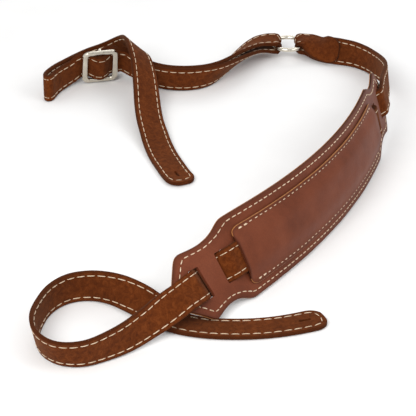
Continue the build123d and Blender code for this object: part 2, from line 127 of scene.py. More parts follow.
FRONT_CURVE = [
    (158.5, 168, 31.0, 13), (162, 190, 27.5, 9), (163.5, 212, 22.5, 5), (161.5, 233, 17.8, 2),
    (156.5, 252, 14.2, 0), (148.5, 268, 12.9, 0), (138, 278, 12.8, -4), (126, 284, 12.6, -14),
    (115, 290.5, 11.4, -35), (106, 297.5, 9.2, -64), (100, 302.5, 7.7, -84),
    (95.5, 304.7, 7.35, -90),
]

FAR_LAYER = [
    (-62, 245.8, 13.2, -15), (-50, 236.8, 12.7, -15), (-37, 229.8, 12.7, -15), (-20, 227.9, 12.7, -16),
    (-2, 233.0, 12.7, -20), (9.5, 244.5, 12.9, -30), (20, 262, 13.3, -42), (31, 280, 13.8, -55),
    (43, 295, 14.9, -72), (52, 302, 15.7, -86), (58.5, 304.6, 15.85, -90),
]

NEAR_LAYER = [
    (58.5, 304.6, 7.35, 90), (51.5, 300.5, 7.8, 84), (42, 289.5, 9.0, 68), (31, 270.5, 10.2, 50),
    (20, 252, 11.4, 38), (9, 236, 12.4, 28), (-3, 227.2, 12.7, 20), (-20.5, 222.6, 12.7, 16),
    (-38.5, 224.8, 12.7, 15), (-52, 232.2, 12.7, 15), (-64, 241.4, 13.4, 15),
]

LOOP_TAIL = [
    (-126, 235.5, 14.6, 9), (-133, 227.5, 13.4, 6), (-138.5, 219, 12.8, 3), (-141.8, 211, 12.7, 0),
    (-143.6, 205.2, 12.7, 0), (-146.4, 203, 12.7, 0), (-149.1, 205.4, 12.7, 0), (-148.9, 211.5, 12.7, 0),
    (-146, 219, 12.7, 0), (-141, 228, 12.7, 0), (-133, 239, 12.7, 0), (-123, 251.5, 12.9, 0),
    (-111.5, 263.5, 13.2, 0), (-99.5, 270.5, 14.4, 0), (-87.5, 271, 19, -6), (-77.5, 264, 26.6, -20),
    (-71, 253, 33.2, -36), (-66.4, 240, 37, -48), (-62.8, 226.5, 36.2, -55), (-59.6, 212, 31.6, -58),
    (-57.4, 197, 25.5, -61), (-55.6, 180, 19, -65), (-54, 163, 13.2, -70), (-51.6, 146, 8.7, -75),
    (-48, 129, 5.2, -81), (-44, 110, 2.8, -86), (-38.7, 90, 1.66, -90), (-32, 69.5, 1.66, -90),
    (-26.3, 54, 1.66, -90), (-19.5, 40, 2.2, -88),
]

SEWN_END = [
    (22, -12.6), (18, -12.8), (13.5, -13.1), (10, -13.1), (7.5, -12.4), (5, -10.6), (2.5, -8.6), (0, -7.5),
]

SEWN_FRONT = [
    (0, -0.45), (2.4, -1.5), (4.6, -4.0), (6.8, -6.7), (9, -8.5), (11.5, -9.3), (14.5, -9.2),
    (18, -9.0), (23, -8.8),
]

OUTLINE = [
    (0, 33.9), (60, 33.9), (110, 33.9), (126, 33.8), (129.5, 33.3), (134, 31.0), (139, 28.2),
    (145, 26.3), (152.5, 25.5), (160, 26.1), (167, 27.4), (172, 28.7), (175, 28.6), (178, 26.6),
    (183, 21.5), (189, 15.8), (194, 11.0), (197.5, 7.0), (199, 4.0),
]

SEAM_LINE = [
    (0, 29.6), (60, 29.6), (110, 29.6), (124, 29.5), (127.5, 28.7), (131.5, 26.6), (137, 24.0),
    (145, 21.9), (152.5, 21.2), (160, 21.7), (167, 22.9), (171.5, 23.6), (174.5, 22.0),
    (179, 17.3), (185, 11.8), (190, 7.4), (193.5, 3.6),
]

PANEL_OUTLINE = [
    (0, 23.0), (100, 23.0), (118.5, 23.0), (121.5, 22.5), (124, 21.1), (125.5, 19.0), (126, 17.0),
]


def smooth(a, b, x):
    """Smooth step from 0 at a to 1 at b."""
    u = min(1.0, max(0.0, (x - a) / (b - a)))
    return u * u * (3 - 2 * u)


def place(p):
    """Route millimetres to metres in the frame."""
    return (Vector(p) - MIDDLE) / 1000


# ---- node materials ------------------------------------------------------

# sockets of a Mix node, whose names repeat
FACTOR_IN, A_IN, B_IN, MIXED = 0, 6, 7, 2


class Shader:
    """A small helper that wires one node material."""

    def __init__(self, name):
        self.material = bpy.data.materials.new(name)
        self.material.use_nodes = True
        self.tree = self.material.node_tree
        self.tree.nodes.clear()
        self.out = self.node("ShaderNodeOutputMaterial")
        self.bsdf = self.node("ShaderNodeBsdfPrincipled")
        self.link(self.bsdf, "BSDF", self.out, "Surface")
        self.coords = self.node("ShaderNodeTexCoord")

    def node(self, kind, **values):
        made = self.tree.nodes.new(kind)
        for key, value in values.items():
            setattr(made, key, value)
        return made

    def link(self, a, output, b, socket):
        self.tree.links.new(a.outputs[output], b.inputs[socket])

    def set(self, **values):
        for key, value in values.items():
            self.bsdf.inputs[key.replace("_", " ")].default_value = value

    def stretched(self, scale):
        made = self.node("ShaderNodeMapping")
        made.inputs["Scale"].default_value = scale
        self.link(self.coords, "Object", made, "Vector")
        return made

    def noise(self, scale, detail=4.0, rough=0.55, distortion=0.0, source=None):
        made = self.node("ShaderNodeTexNoise")
        made.inputs["Scale"].default_value = scale
        made.inputs["Detail"].default_value = detail
        made.inputs["Roughness"].default_value = rough
        made.inputs["Distortion"].default_value = distortion
        if source is None:
            self.link(self.coords, "Object", made, "Vector")
        else:
            self.link(source, "Vector", made, "Vector")
        return made

    def cells(self, scale, feature="F1"):
        made = self.node("ShaderNodeTexVoronoi", feature=feature)
        made.inputs["Scale"].default_value = scale
        self.link(self.coords, "Object", made, "Vector")
        return made

    def ramp(self, source, output, stops):
        made = self.node("ShaderNodeValToRGB")
        band = made.color_ramp
        while len(band.elements) < len(stops):
            band.elements.new(0.5)
        for element, (at, colour) in zip(band.elements, stops):
            element.position = at
            element.color = (*colour, 1.0)
        self.link(source, output, made, "Fac")
        return made

    def mix(self, mode, factor, a, a_out, b, b_out):
        made = self.node("ShaderNodeMix", data_type="RGBA", blend_type=mode)
        if isinstance(factor, tuple):
            self.link(*factor, made, FACTOR_IN)
        else:
            made.inputs[FACTOR_IN].default_value = factor
        self.link(a, a_out, made, A_IN)
        if isinstance(b, tuple):
            made.inputs[B_IN].default_value = (*b, 1.0)
        else:
            self.link(b, b_out, made, B_IN)
        return made

    def product(self, a, a_out, b, b_out):
        made = self.node("ShaderNodeMath", operation="MULTIPLY")
        self.link(a, a_out, made, 0)
        self.link(b, b_out, made, 1)
        return made

    def span(self, source, output, low, high):
        made = self.node("ShaderNodeMapRange")
        made.inputs["To Min"].default_value = low
        made.inputs["To Max"].default_value = high
        self.link(source, output, made, "Value")
        return made

    def attribute(self, name):
        return self.node("ShaderNodeAttribute", attribute_name=name)

    def bump(self, source, output, strength, distance, before=None):
        made = self.node("ShaderNodeBump")
        made.inputs["Strength"].default_value = strength
        made.inputs["Distance"].default_value = distance
        self.link(source, output, made, "Height")
        if before is not None:
            self.link(before, "Normal", made, "Normal")
        return made


def hide_material(name, tones, rough, grain, sheen):
    """Smooth leather: pores, creases, mottling and edges burnished dark."""
    s = Shader(name)
    dark, mid, light = tones
    broad = s.noise(26, 5, 0.6)
    tone = s.ramp(broad, "Fac", [(0.30, dark), (0.52, mid), (0.74, light)])
    fleck = s.noise(900, 3, 0.6)
    fleck_tone = s.ramp(fleck, "Fac", [(0.35, (0.80, 0.80, 0.80)), (0.65, (1.12, 1.10, 1.08))])
    colour = s.mix("MULTIPLY", 0.55, tone, "Color", fleck_tone, "Color")
    rim = s.attribute("rim")
    worn = s.span(s.noise(160, 4, 0.6), "Fac", 0.35, 1.0)
    edge = s.product(rim, "Fac", worn, "Result")
    colour = s.mix("MIX", (edge, "Value"), colour, MIXED, tuple(c * 0.55 for c in dark), None)
    s.link(colour, MIXED, s.bsdf, "Base Color")
    s.link(s.span(s.noise(70, 5, 0.6), "Fac", rough - 0.08, rough + 0.10), "Result", s.bsdf, "Roughness")
    s.set(Specular_IOR_Level=0.12, Sheen_Weight=sheen, Sheen_Roughness=0.5)
    pores = s.bump(s.cells(1250), "Distance", grain, 0.00012)
    creases = s.bump(s.cells(430, "SMOOTH_F1"), "Distance", grain * 0.55, 0.00016, pores)
    waves = s.bump(s.noise(60, 4, 0.55), "Fac", 0.30, 0.0011, creases)
    s.link(waves, "Normal", s.bsdf, "Normal")
    return s.material


def suede_material(name, tones):
    """Napped strap leather: brushed patches, short fibres and a soft sheen."""
    s = Shader(name)
    dark, mid, light = tones
    nap = s.noise(240, 6, 0.68, 0.6)
    tone = s.ramp(nap, "Fac", [(0.28, dark), (0.50, mid), (0.72, light)])
    broad = s.ramp(s.noise(34, 4, 0.6), "Fac", [(0.3, (0.82, 0.80, 0.78)), (0.7, (1.14, 1.12, 1.10))])
    colour = s.mix("MULTIPLY", 0.75, tone, "Color", broad, "Color")
    fibre = s.noise(1500, 5, 0.75, source=s.stretched((1.0, 1.0, 2.4)))
    fibre_tone = s.ramp(fibre, "Fac", [(0.3, (0.72, 0.70, 0.68)), (0.7, (1.22, 1.20, 1.18))])
    colour = s.mix("MULTIPLY", 0.8, colour, MIXED, fibre_tone, "Color")
    rim = s.attribute("rim")
    colour = s.mix("MIX", (rim, "Fac"), colour, MIXED, tuple(c * 0.8 for c in dark), None)
    s.link(colour, MIXED, s.bsdf, "Base Color")
    s.set(Roughness=0.95, Specular_IOR_Level=0.10, Sheen_Weight=0.07, Sheen_Roughness=0.45)
    s.bsdf.inputs["Sheen Tint"].default_value = (0.95, 0.66, 0.42, 1.0)
    fuzz = s.bump(fibre, "Fac", 0.55, 0.00022)
    lumps = s.bump(s.noise(420, 5, 0.65), "Fac", 0.45, 0.00035, fuzz)
    waves = s.bump(s.noise(75, 3, 0.5), "Fac", 0.28, 0.0012, lumps)
    s.link(waves, "Normal", s.bsdf, "Normal")
    return s.material


EDGE_TONES = [(0.3, (0.20, 0.070, 0.018)), (0.5, (0.33, 0.125, 0.033)), (0.72, (0.43, 0.18, 0.055))]


def raw_edge_material():
    """Cut edge of a hide: fibrous, paler and warmer than its face."""
    s = Shader("raw_cut_edge")
    layers = s.noise(520, 5, 0.7, source=s.stretched((1.0, 1.0, 3.5)))
    tone = s.ramp(layers, "Fac", EDGE_TONES)
    s.link(tone, "Color", s.bsdf, "Base Color")
    s.set(Roughness=0.9, Specular_IOR_Level=0.2, Sheen_Weight=0.15)
    s.link(s.bump(layers, "Fac", 0.6, 0.0003), "Normal", s.bsdf, "Normal")
    return s.material


THREAD_TONES = [(0.3, (0.56, 0.40, 0.25)), (0.55, (0.78, 0.61, 0.43)), (0.8, (0.90, 0.76, 0.58))]


def thread_material():
    """Waxed cream thread, its plies twisted, with painted shade darkening the grooves between the plies."""
    s = Shader("waxed_thread")
    twist = s.node("ShaderNodeTexWave", wave_type="BANDS", bands_direction="DIAGONAL")
    twist.inputs["Scale"].default_value = 620
    twist.inputs["Distortion"].default_value = 1.2
    twist.inputs["Detail"].default_value = 2.0
    s.link(s.coords, "Object", twist, "Vector")
    tone = s.ramp(s.noise(330, 3, 0.6), "Fac", THREAD_TONES)
    # painted shade: the twist's bands are darker where its bump sinks into the grooves between plies
    groove_shade = s.ramp(twist, "Fac", [(0.1, (0.78, 0.76, 0.72)), (0.6, (1.05, 1.05, 1.05))])
    colour = s.mix("MULTIPLY", 0.6, tone, "Color", groove_shade, "Color")
    s.link(colour, MIXED, s.bsdf, "Base Color")
    s.set(Roughness=0.5, Specular_IOR_Level=0.4, Sheen_Weight=0.2)
    s.link(s.bump(twist, "Fac", 0.5, 0.00018), "Normal", s.bsdf, "Normal")
    return s.material


def nickel_material():
    """Polished nickel plate with faint scratches and handling marks."""
    s = Shader("polished_nickel")
    haze = s.noise(120, 5, 0.6)
    tone = s.ramp(haze, "Fac", [(0.3, (0.60, 0.55, 0.46)), (0.7, (0.78, 0.73, 0.63))])
    s.link(tone, "Color", s.bsdf, "Base Color")
    scratch = s.noise(900, 3, 0.6, source=s.stretched((1.0, 6.0, 0.6)))
    s.link(s.span(scratch, "Fac", 0.10, 0.30), "Result", s.bsdf, "Roughness")
    s.set(Metallic=1.0)
    marks = s.bump(scratch, "Fac", 0.12, 0.00006)
    cast = s.bump(s.noise(110, 2, 0.5), "Fac", 0.16, 0.0006, marks)
    s.link(cast, "Normal", s.bsdf, "Normal")
    return s.material


PAD_TONES = ((0.110, 0.0265, 0.0105), (0.146, 0.0365, 0.0150), (0.176, 0.0470, 0.0205))
LINING_TONES = ((0.072, 0.022, 0.009), (0.105, 0.033, 0.014), (0.135, 0.045, 0.020))
FACE_TONES = ((0.058, 0.0120, 0.0018), (0.104, 0.0235, 0.0036), (0.156, 0.040, 0.0080))
BACK_TONES = ((0.060, 0.0130, 0.0022), (0.102, 0.0240, 0.0042), (0.150, 0.039, 0.0085))
PAD_HIDE = hide_material("pad_hide", PAD_TONES, 0.52, 0.30, 0.02)
LINING_HIDE = hide_material("lining_hide", LINING_TONES, 0.68, 0.40, 0.06)
SUEDE = suede_material("strap_suede_face", FACE_TONES)
SUEDE_BACK = suede_material("strap_suede_back", BACK_TONES)
RAW_EDGE = raw_edge_material()
THREAD = thread_material()
NICKEL = nickel_material()


# ---- mesh making ---------------------------------------------------------

SHARP = 38


def make_object(name, verts, faces, materials, face_slots=None, rim=None, sharp=SHARP):
    """Object from a mesh, smooth but for its hard edges."""
    mesh = bpy.data.meshes.new(name)
    mesh.from_pydata([tuple(v) for v in verts], [], faces)
    for material in materials:
        mesh.materials.append(material)
    if face_slots is not None:
        mesh.polygons.foreach_set("material_index", face_slots)
    if rim is not None:
        layer = mesh.attributes.new("rim", "FLOAT", "POINT")
        layer.data.foreach_set("value", rim)
    fix_normals(mesh)
    mesh.shade_smooth()
    mesh.set_sharp_from_angle(angle=math.radians(sharp))
    made = bpy.data.objects.new(name, mesh)
    bpy.context.collection.objects.link(made)
    return made


def fix_normals(mesh):
    """Every face points out."""
    work = bmesh.new()
    work.from_mesh(mesh)
    bmesh.ops.recalc_face_normals(work, faces=work.faces)
    work.to_mesh(mesh)
    work.free()


def skirt(start, rows, sides, closed=False):
    """Quads between neighbouring rows of points, numbered from start."""
    faces = []
    for i in range(rows if closed else rows - 1):
        a = start + i * sides
        b = start + (i + 1) % rows * sides
        for k in range(sides):
            n = (k + 1) % sides
            faces.append((a + k, a + n, b + n, b + k))
    return faces


def capped(start, rows, sides):
    """Faces of a closed tube of rows, with a cap at each end."""
    last = start + (rows - 1) * sides
    caps = [tuple(range(start, start + sides))[::-1], tuple(range(last, last + sides))]
    return caps[:1] + skirt(start, rows, sides) + caps[1:]


def loft(rows):
    """Points and faces that join closed rows of points, capped at both ends."""
    return [p for row in rows for p in row], capped(0, len(rows), len(rows[0]))


def cut(piece, cutters):
    """Takes the cutters out of the piece for good."""
    for cutter in cutters:
        modifier = piece.modifiers.new("cut", "BOOLEAN")
        modifier.operation = "DIFFERENCE"
        modifier.solver = "EXACT"
        modifier.object = cutter
    graph = bpy.context.evaluated_depsgraph_get()
    mesh = bpy.data.meshes.new_from_object(piece.evaluated_get(graph))
    piece.modifiers.clear()
    piece.data = mesh
    mesh.shade_smooth()
    mesh.set_sharp_from_angle(angle=math.radians(SHARP))
    for cutter in cutters:
        bpy.data.objects.remove(cutter)


def finish_piece(piece, body, node):
    """Rides a body and stands for a CAD node."""
    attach(piece, body)
    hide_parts(node)


# ---- stitches ------------------------------------------------------------

# place along half a stitch, and thickness there
SWELL = ((-1.0, 0.30), (-0.86, 0.72), (-0.5, 1.0), (0.0, 1.06), (0.5, 1.0), (0.86, 0.72), (1.0, 0.30))
SIDES = 8


def stitch(verts, faces, a, b, out, radius):
    """Adds one stitch from a to b, its ends pulled into the leather."""
    way = (b - a).normalized()
    half = (b - a).length / 2
    side = way.cross(out).normalized()
    out = side.cross(way)
    mid = (a + b) / 2
    start = len(verts)
    for share, size in SWELL:
        lift = radius * (0.30 - 0.75 * share * share)
        at = mid + way * (share * half) + out * lift
        for k in range(SIDES):
            angle = 2 * math.pi * k / SIDES + 1.3 * share
            lobe = 1 + 0.10 * math.cos(3 * angle)
            verts.append(at + (side * math.cos(angle) + out * math.sin(angle)) * radius * size * lobe)
    faces.extend(capped(start, len(SWELL), SIDES))


def walk(points, pitch, dash, rng):
    """Distance of each point along a line, and where every stitch starts and ends."""
    lengths = [0.0]
    for p, q in zip(points[:-1], points[1:]):
        lengths.append(lengths[-1] + (Vector(q) - Vector(p)).length)
    total = lengths[-1]
    count = max(1, round(total / pitch))
    step = total / count
    spans = []
    for k in range(count):
        slack = (step - dash) / 2 + rng.uniform(-0.12, 0.12) * (step - dash)
        spans.append((k * step + slack, k * step + slack + dash))
    return lengths, spans


def along(points, lengths, t):
    """Point a distance t along a line of points."""
    i = min(len(points) - 2, max(0, int(np.searchsorted(lengths, t)) - 1))
    f = (t - lengths[i]) / max(1e-9, lengths[i + 1] - lengths[i])
    return Vector(points[i]).lerp(Vector(points[i + 1]), f)


def stitch_rows(name, lines, pitch, dash, radius, seed, node):
    """One seam's stitches; each line is (points, outward directions) in mm."""
    rng = random.Random(seed)
    verts = []
    faces = []
    for points, outs in lines:
        lengths, spans = walk(points, pitch, dash, rng)
        for t0, t1 in spans:
            a = along(points, lengths, t0)
            b = along(points, lengths, t1)
            out = along(outs, lengths, (t0 + t1) / 2).normalized()
            mid = along(points, lengths, (t0 + t1) / 2)
            sag = mid - (a + b) / 2
            drift = out.cross((b - a).normalized()) * rng.uniform(-0.07, 0.07)
            size = radius * rng.uniform(0.94, 1.06)
            stitch(verts, faces, a + sag * 0.5 + drift, b + sag * 0.5 + drift, out, size)
    made = make_object(name, [place(v) for v in verts], faces, [THREAD], sharp=75)
    finish_piece(made, "strap", node)


# ---- the pad's shape -----------------------------------------------------

def pad_frame(s):
    """Plan direction, lean and end droop of the pad at s along it."""
    t = s / (PAD_R * PAD_SPAN)
    end = max(0.0, (-t - 0.5) / 0.5) ** 2
    lean = PAD_LEANS[0] + PAD_LEANS[1] * t + PAD_LEANS[2] * t * t + END_LEAN * end
    return PAD_HEADING + s / PAD_R, lean, end


def pad_point(s, h, n):
    """Point at s along, h up and n out from the pad's middle surface."""
    turn, lean, end = pad_frame(s)
    hh = h - END_DROP * end
    rho = PAD_R - hh * math.sin(lean) - END_IN * end + n * math.cos(lean)
    z = hh * math.cos(lean) + END_LIFT * end + n * math.sin(lean)
    return Vector((PAD_CX + rho * math.cos(turn), PAD_CY + rho * math.sin(turn), z + PAD_LIFT))


def pad_up(s):
    """Direction up the pad's slant."""
    turn, lean, _ = pad_frame(s)
    return Vector((-math.sin(lean) * math.cos(turn), -math.sin(lean) * math.sin(turn), math.cos(lean)))


def pad_out(s):
    """Direction out of the pad's outer face."""
    turn, lean, _ = pad_frame(s)
    return Vector((math.cos(lean) * math.cos(turn), math.cos(lean) * math.sin(turn), math.sin(lean)))


def width_at(rows, a):
    """Half width from an outline's rows, at distance a from the pad's middle."""
    a = abs(a)
    for (a0, w0), (a1, w1) in zip(rows[:-1], rows[1:]):
        if a <= a1:
            return w0 + (w1 - w0) * (a - a0) / (a1 - a0)
    return rows[-1][1]


def softened_width(rows, a, reach):
    """Half width averaged a little along the outline, so corners turn softly."""
    end = rows[-1][0]
    reach = min(reach, end - abs(a))
    total = sum(width_at(rows, a + reach * k / 3) for k in range(-3, 4))
    return total / 7


def pad_stations(end):
    """Distances from the pad's middle, closer together near the ends."""
    half = []
    a = 0.0
    while a < end - 0.2:
        half.append(a)
        a += 4.0 if a < end * 0.55 else (1.6 if a < end - 6 else 0.7)
    half.append(end)
    return [-v for v in reversed(half[1:])] + half


def across_profile(edge):
    """Rounded outline of a hide: share of the half width, inset, share of the depth."""
    top = [(-1.0, 0.0, edge), (-1.0, 0.0, 1 - edge), (-1.0, 0.3 * edge, 1 - 0.35 * edge),
           (-1.0, 0.75 * edge, 1 - 0.08 * edge), (-1.0, 1.5 * edge, 1.0)]
    middle = [(f, 0.0, 1.0) for f in (-0.86, -0.72, -0.56, -0.38, -0.2, 0.0, 0.2, 0.38, 0.56, 0.72, 0.86)]
    right = [(-f, -i, n) for f, i, n in reversed(top)]
    under = [(f, 0.0, 0.0) for f in (0.95, 0.6, 0.2, -0.2, -0.6, -0.95)]
    return top + middle + right + under


# the profile's sides that show the hide's cut edge
EDGE_FACES = (0, 1, 2, 17, 18, 19)


def hide_sheet(name, outline, end, depth, edge, materials, soften, drop=0.0):
    """Sheet of hide over the pad, with rounded and burnished edges."""
    rows = []
    rims = []
    for a in pad_stations(end):
        s = PAD_MID + a
        w0 = softened_width(outline, a, soften)
        row = []
        rim = []
        profile = across_profile(edge)
        for f, inset, n in profile:
            w = w0 + drop if f < 0 else w0
            h = f * w + inset if abs(f) == 1.0 else f * (w - 1.5 * edge)
            low, high = depth(s, h)
            row.append(place(pad_point(s, HALF_H + h, low + (high - low) * n)))
            near = min(w - abs(h), end - abs(a))
            rim.append(1 - smooth(0.2, 1.9, near))
        rows.append(row)
        rims.extend(rim)
        count = len(profile)
    verts, faces = loft(rows)
    face_slots = [0]
    for _ in range(len(rows) - 1):
        face_slots.extend(1 if j in EDGE_FACES else 0 for j in range(count))
    face_slots.append(0)
    return make_object(name, verts, faces, materials, face_slots, rims)


def rounded_outline(width, height, corner, per):
    """Points round a rectangle, with per steps to each rounded corner."""
    out = []
    for cx, cy, start in ((1, 1, 0), (-1, 1, 90), (-1, -1, 180), (1, -1, 270)):
        for k in range(per + 1):
            angle = math.radians(start + 90 * k / per)
            x = cx * (width / 2 - corner) + corner * math.cos(angle)
            y = cy * (height / 2 - corner) + corner * math.sin(angle)
            out.append((x, y))
    return out


def slot_block(s, width, height):
    """Cutter with rounded corners for one strap slot."""
    centre = pad_point(s, HALF_H, 0)
    up = pad_up(s)
    out = pad_out(s)
    way = up.cross(out)
    outline = rounded_outline(width, height, 1.1, 4)
    rows = [[place(centre + way * x + up * y + out * n) for x, y in outline] for n in (-9, 9)]
    verts, faces = loft(rows)
    return make_object("slot_block", verts, faces, [])


def base_depth(s, h):
    """Depths of the base's two faces."""
    ripple = 0.10 * math.sin(s * 0.11 + 1.0) + 0.07 * math.sin(h * 0.21 + s * 0.05)
    return BASE_LOW, BASE_HIGH + ripple


def lining_depth(s, h):
    """Depths of the lining sheet's two faces."""
    return LINING_LOW, LINING_HIGH


def panel_depth(s, h):
    """Depths of the panel's faces, crowned over the strap's tunnel."""
    line = PANEL_SEAMS[0] if h > 0 else -PANEL_SEAMS[1]
    crown = PANEL_CROWN * (1 - smooth(9.0, line + 0.2, abs(h)))
    seam = 0.28 * math.exp(-((abs(h) - line) / 1.0) ** 2)
    ripple = 0.16 * math.sin(s * 0.045) + 0.10 * math.sin(s * 0.13 + h * 0.12)
    roll = 0.35 * smooth(118, PANEL_END, abs(s - PAD_MID))
    return PANEL_LOW + crown, PANEL_HIGH + crown - seam + ripple - roll


def make_pad():
    """Base, lining and panel of the pad."""
    base = hide_sheet("base_leather", OUTLINE, PAD_END, base_depth, 0.5, [PAD_HIDE, PAD_HIDE], 2.2)
    cut(base, [slot_block(PAD_MID + a, SLOT_W, SNUG_H) for a in SLOTS])
    finish_piece(base, "strap", "pad_base")
    lining = hide_sheet("lining_leather", OUTLINE, PAD_END, lining_depth, 0.4, [LINING_HIDE, RAW_EDGE], 2.2)
    cut(lining, [slot_block(PAD_MID + a, SLOT_W, SNUG_H) for a in SLOTS])
    finish_piece(lining, "strap", "pad_lining")
    hides = [PAD_HIDE, RAW_EDGE]
    panel = hide_sheet("panel_leather", PANEL_OUTLINE, PANEL_END, panel_depth, 0.55, hides, 1.0, PANEL_DROP)
    finish_piece(panel, "strap", "pad_panel")


CUSHION_L = 234
CUSHION_HALF_W = 19.5
CUSHION_HALF_T = 1.15
CUSHION_TOP = -1.62
CUSHION_BELLY = 3.9
PRESSURE = 4
BLOW_FRAMES = 20
MOST_SWELL = 0.004


def cushion_slab():
    """Flat rounded slab in the pad's own directions, before it is blown up."""
    rows = []
    for k in range(61):
        x = CUSHION_L * (k / 60 - 0.5)
        end = min(1.0, max(0.05, (CUSHION_L / 2 - abs(x)) / 9))
        w = CUSHION_HALF_W * (1 - 0.16 * (1 - end) ** 2)
        t = CUSHION_HALF_T * math.sqrt(min(1.0, 0.25 + 0.75 * end))
        row = []
        for j in range(28):
            angle = 2 * math.pi * j / 28
            c = math.cos(angle)
            q = math.sin(angle)
            y = w * math.copysign(abs(c) ** 0.45, c)
            z = t * math.copysign(abs(q) ** 0.6, q)
            row.append(Vector((x, y, z)) / 1000)
        rows.append(row)
    verts, faces = loft(rows)
    return make_object("cushion_slab", verts, faces, [])


def blow_up(piece):
    """Cloth simulation under pressure, its result read back as points."""
    remesh = piece.modifiers.new("remesh", "REMESH")
    remesh.mode = "VOXEL"
    remesh.voxel_size = 0.0022
    graph = bpy.context.evaluated_depsgraph_get()
    mesh = bpy.data.meshes.new_from_object(piece.evaluated_get(graph))
    piece.modifiers.clear()
    piece.data = mesh
    before = np.empty(len(mesh.vertices) * 3)
    mesh.vertices.foreach_get("co", before)
    cloth = piece.modifiers.new("cloth", "CLOTH")
    cloth.settings.use_pressure = True
    cloth.settings.uniform_pressure_force = PRESSURE
    cloth.settings.quality = 5
    cloth.settings.mass = 0.15
    cloth.settings.tension_stiffness = 12
    cloth.settings.bending_stiffness = 0.4
    cloth.settings.effector_weights.gravity = 0
    cloth.collision_settings.use_self_collision = False
    cloth.point_cache.frame_start = 1
    cloth.point_cache.frame_end = BLOW_FRAMES
    scene = bpy.context.scene
    for f in range(1, BLOW_FRAMES + 1):
        scene.frame_set(f)
    graph = bpy.context.evaluated_depsgraph_get()
    blown = piece.evaluated_get(graph).to_mesh()
    after = np.empty(len(blown.vertices) * 3)
    blown.vertices.foreach_get("co", after)
    piece.evaluated_get(graph).to_mesh_clear()
    piece.modifiers.clear()
    scene.frame_set(1)
    move = (after - before).reshape(-1, 3)
    size = np.linalg.norm(move, axis=1, keepdims=True)
    move *= np.minimum(1.0, MOST_SWELL / np.maximum(size, 1e-9))
    mesh.vertices.foreach_set("co", (before.reshape(-1, 3) + move).ravel())
    mesh.update()


def make_cushion():
    """The padded belly behind the pad, pressed flat against the lining."""
    piece = cushion_slab()
    blow_up(piece)
    mesh = piece.data
    top = max(v.co.z for v in mesh.vertices)
    low = min(v.co.z for v in mesh.vertices)
    for v in mesh.vertices:
        s = PAD_MID + v.co.x * 1000
        h = v.co.y * 1000
        share = (top - v.co.z) / (top - low)
        n = CUSHION_TOP - CUSHION_BELLY * share * (0.55 + 0.45 * share)
        wrinkle = 0.16 * math.sin(s * 0.33 + 1.2 * math.sin(h * 0.16)) * share * smooth(8, 19, abs(h))
        v.co = place(pad_point(s, HALF_H + h, n + wrinkle))
    soften = piece.modifiers.new("soften", "SMOOTH")
    soften.iterations = 3
    finer = piece.modifiers.new("finer", "SUBSURF")
    finer.levels = 1
    finer.render_levels = 1
    graph = bpy.context.evaluated_depsgraph_get()
    made = bpy.data.meshes.new_from_object(piece.evaluated_get(graph))
    made.materials.clear()
    made.materials.append(LINING_HIDE)
    made.shade_smooth()
    cushion = bpy.data.objects.new("lining_cushion", made)
    bpy.context.collection.objects.link(cushion)
    bpy.data.objects.remove(piece)
    finish_piece(cushion, "strap", "pad_foam")


# pitch, stitch length and thread radius
PAD_STITCH = (5.9, 4.2, 0.40)
STRAP_STITCH = (8.0, 6.3, 0.37)
SEAM_END = 194.3
PANEL_SEAM_END = 120
TACK_FROM, TACK_TO = 119.7, 107.9
SEAM_FRONT = 1.58
SEAM_BACK = -1.55


def pad_line(points, n):
    """Points and outward directions of a seam at depth n, from (s, h)."""
    at = [pad_point(s, HALF_H + h, n) for s, h in points]
    face = 1 if n > 0 else -1
    outs = [pad_out(s) * face for s, h in points]
    return at, outs


def back_tack(end, line):
    """The few doubled stitches that lock one end of a panel seam."""
    points = []
    outs = []
    for s, h in fine([(PAD_MID + end * TACK_FROM, line), (PAD_MID + end * TACK_TO, line)]):
        points.append(pad_point(s, HALF_H + h, panel_depth(s, h)[1] + 0.16))
        outs.append(pad_out(s))
    return points, outs


def make_pad_stitches():
    """Perimeter seam and the panel's two seams, on both sides of the pad."""
    for side, word in ((1, "upper"), (-1, "lower")):
        rows = [(PAD_MID - a, side * w) for a, w in reversed(SEAM_LINE) if a > 0]
        rows += [(PAD_MID + a, side * w) for a, w in SEAM_LINE]
        rows = [(PAD_MID - SEAM_END, 0.0)] + rows + [(PAD_MID + SEAM_END, 0.0)]
        lines = [pad_line(fine(rows), SEAM_FRONT), pad_line(fine(rows), SEAM_BACK)]
        node = "pad_" + word + "_edge_thread"
        stitch_rows("pad_" + word + "_edge_stitches", lines, *PAD_STITCH, 11 + side, node)
        line = PANEL_SEAMS[0] if side > 0 else PANEL_SEAMS[1]
        rows = [(PAD_MID - PANEL_SEAM_END, line), (PAD_MID + PANEL_SEAM_END, line)]
        top = []
        outs = []
        for s, h in fine(rows):
            high = panel_depth(s, h)[1]
            top.append(pad_point(s, HALF_H + h, high + 0.06))
            outs.append(pad_out(s))
        lines = [(top, outs), pad_line(fine(rows), SEAM_BACK)]
        lines += [back_tack(end, line - 0.55 * side) for end in (-1, 1)]
        stitch_rows("panel_" + word + "_stitches", lines, *PAD_STITCH, 21 + side, "panel_" + word + "_thread")


def fine(rows):
    """Extra points so that no two are more than 2 mm apart."""
    out = [rows[0]]
    for a, b in zip(rows[:-1], rows[1:]):
        count = max(1, math.ceil(math.dist(a, b) / 2.0))
        for k in range(1, count + 1):
            out.append((a[0] + (b[0] - a[0]) * k / count, a[1] + (b[1] - a[1]) * k / count))
    return out


# ---- the straps' routes --------------------------------------------------

